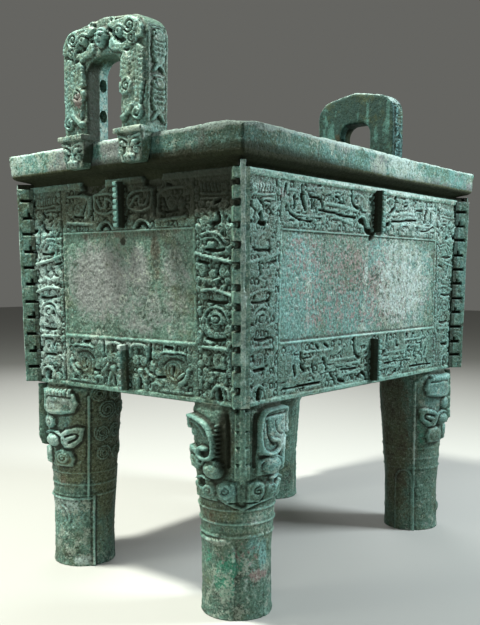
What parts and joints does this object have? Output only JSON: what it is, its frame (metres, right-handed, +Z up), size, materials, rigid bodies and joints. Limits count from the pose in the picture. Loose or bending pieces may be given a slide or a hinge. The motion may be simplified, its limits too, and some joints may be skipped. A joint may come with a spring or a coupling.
{
  "type": "bronze ding vessel",
  "caption": "Rectangular bronze cauldron on round legs, with a heavy rim, upright loop handles, notched corner flanges and bands of beast-mask relief.",
  "frame": {"origin": "on the ground, under the middle of the basin", "axes": "+Z up, X along the long side through both handles, Y along the short side"},
  "size_m": [1.184, 0.7826, 1.33],
  "materials": {
    "vessel_bronze": "cast bronze under a matt grey-green patina, with malachite, bluish-white rim corrosion and olive-black undersides",
    "handle_bronze": "cast bronze under a grey-green patina, dark in the hollows of the carving"
  },
  "bodies": {
    "root": {"vessel": "vessel_bronze", "left_handle": "handle_bronze", "right_handle": "handle_bronze"}
  },
  "joints": []
}
